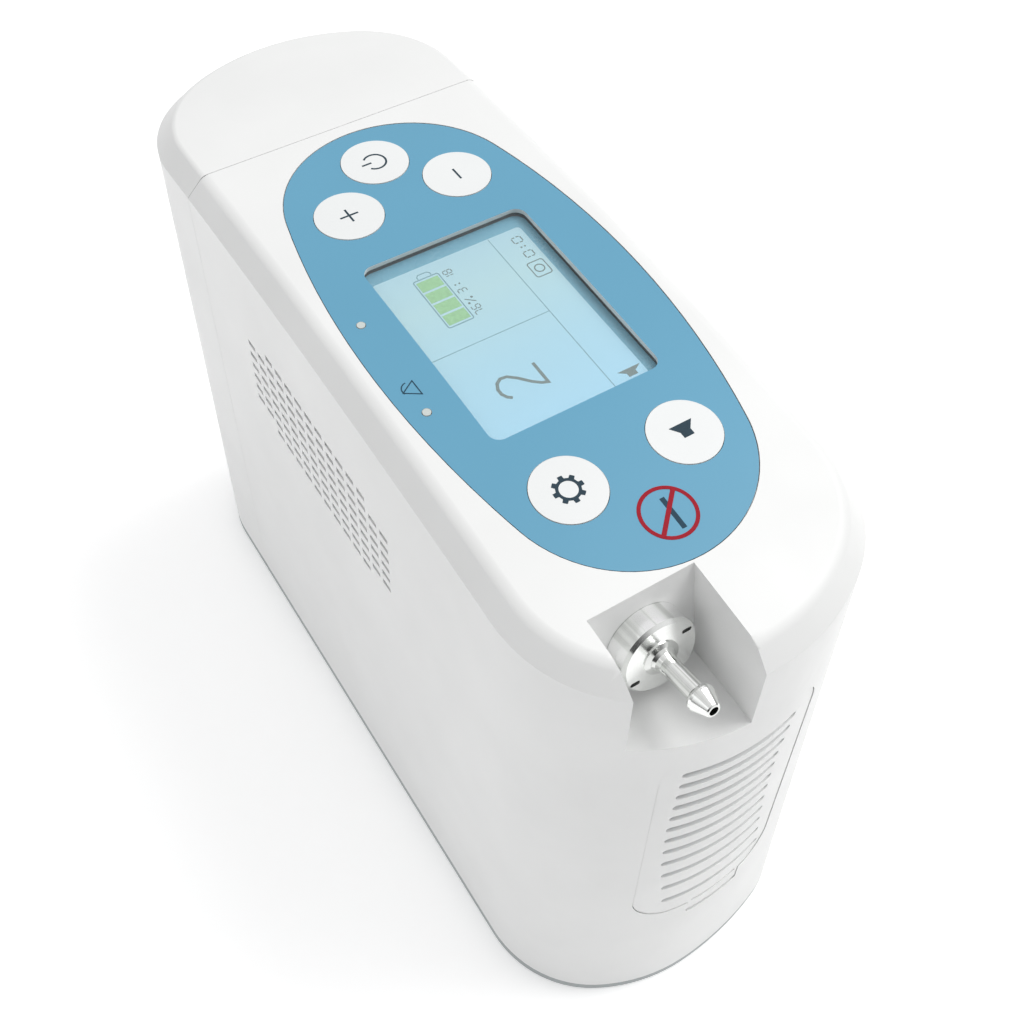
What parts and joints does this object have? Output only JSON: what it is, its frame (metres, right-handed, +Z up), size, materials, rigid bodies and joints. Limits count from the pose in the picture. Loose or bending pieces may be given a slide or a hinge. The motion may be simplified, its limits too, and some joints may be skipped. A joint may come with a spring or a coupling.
{
  "type": "portable oxygen concentrator",
  "caption": "Portable medical oxygen concentrator: narrow white housing with a top control panel, hose outlet, louvred intake cover and a slide-off battery pack.",
  "frame": {"origin": "on the table surface under the middle of the body", "axes": "+X to the right of the outlet end, +Y towards the battery end, +Z up"},
  "size_m": [0.08, 0.2224, 0.165],
  "materials": {
    "shell_white": "satin",
    "base_grey": "satin",
    "foot_rubber": "matte",
    "screw_steel": "satin",
    "panel_blue": "satin",
    "key_white": "satin",
    "bezel_dark": "matte",
    "lens_clear": "gloss",
    "display_glass": "gloss",
    "board_green": "satin",
    "brass_parts": "satin",
    "component_black": "satin",
    "light_pipe": "gloss",
    "outlet_aluminium": "satin",
    "outlet_chrome": "polished",
    "duct_plastic": "matte",
    "filter_foam": "open foam",
    "cell_can": "satin",
    "motor_metal": "satin",
    "cast_aluminium": "cast",
    "sieve_beads": "matte",
    "filter_white": "satin",
    "hose_silicone": "satin"
  },
  "bodies": {
    "housing": {"main_housing": "shell_white", "base_plate": "base_grey", "feet": "foot_rubber", "base_screws": "screw_steel", "overlay_panel": "panel_blue", "display_bezel": "bezel_dark", "display_lens": "lens_clear", "display_module": "display_glass", "display_board": "board_green", "display_standoffs": "brass_parts", "board_components": "component_black", "light_pipes": "light_pipe", "outlet_flange": "outlet_aluminium", "outlet_barb": "outlet_chrome", "outlet_nut": "screw_steel", "intake_duct": "duct_plastic", "dust_filters": "filter_foam", "side_grilles": "shell_white", "fan_frame": "component_black", "bulkhead": "duct_plastic", "dock_connector": "component_black", "chassis": "duct_plastic", "isolation_mounts": "foot_rubber", "motor_can": "motor_metal", "motor_stator": "motor_metal", "motor_bearings": "screw_steel", "crankcase": "cast_aluminium", "crankcase_cover": "cast_aluminium", "cylinder_heads": "cast_aluminium", "pistons": "cast_aluminium", "sieve_columns": "outlet_aluminium", "sieve_beds": "sieve_beads", "column_bases": "component_black", "valve_manifold": "cast_aluminium", "solenoid_valves": "component_black", "product_tank": "duct_plastic", "oxygen_sensor": "duct_plastic", "pressure_regulator": "brass_parts", "exhaust_muffler": "component_black", "compressor_filter": "filter_white", "control_board": "board_green", "board_parts": "component_black", "dc_jack": "component_black", "hoses": "hose_silicone"},
    "key_power": {"key_power": "key_white"},
    "key_minus": {"key_minus": "key_white"},
    "key_plus": {"key_plus": "key_white"},
    "key_sound": {"key_sound": "key_white"},
    "key_settings": {"key_settings": "key_white"},
    "compressor_rotor": {"motor_rotor": "screw_steel"},
    "fan": {"fan_rotor": "component_black"},
    "intake_cover": {"louvre_cover": "shell_white"},
    "battery_pack": {"battery_shell": "shell_white", "battery_base": "base_grey", "battery_feet": "foot_rubber", "battery_lid": "duct_plastic", "battery_cells": "cell_can", "cell_holders": "component_black", "battery_electronics": "board_green"},
    "battery_release": {"battery_latch": "shell_white"}
  },
  "joints": [
    {"name": "press_power", "type": "slide", "parent": "housing", "child": "key_power", "axis": [0, 0, -1], "range_m": [0, 0.0006], "stiffness_N_per_m": 1500},
    {"name": "press_minus", "type": "slide", "parent": "housing", "child": "key_minus", "axis": [0, 0, -1], "range_m": [0, 0.0006], "stiffness_N_per_m": 1500},
    {"name": "press_plus", "type": "slide", "parent": "housing", "child": "key_plus", "axis": [0, 0, -1], "range_m": [0, 0.0006], "stiffness_N_per_m": 1500},
    {"name": "press_sound", "type": "slide", "parent": "housing", "child": "key_sound", "axis": [0, 0, -1], "range_m": [0, 0.0006], "stiffness_N_per_m": 1500},
    {"name": "press_settings", "type": "slide", "parent": "housing", "child": "key_settings", "axis": [0, 0, -1], "range_m": [0, 0.0006], "stiffness_N_per_m": 1500},
    {"name": "compressor_spin", "type": "hinge", "parent": "housing", "child": "compressor_rotor", "pos_m": [0, -0.025, 0.05], "axis": [0, 0, 1], "continuous": true},
    {"name": "fan_spin", "type": "hinge", "parent": "housing", "child": "fan", "pos_m": [0.003, -0.0716, 0.078], "axis": [0, 1, 0], "continuous": true},
    {"name": "cover_lift_off", "type": "slide", "parent": "housing", "child": "intake_cover", "axis": [0, -1, 0], "range_m": [0, 0.02]},
    {"name": "pack_slide_off", "type": "slide", "parent": "housing", "child": "battery_pack", "axis": [0, 1, 0], "range_m": [0, 0.06]},
    {"name": "release_press", "type": "slide", "parent": "battery_pack", "child": "battery_release", "axis": [0, -1, 0], "range_m": [0, 0.002], "stiffness_N_per_m": 1200}
  ]
}
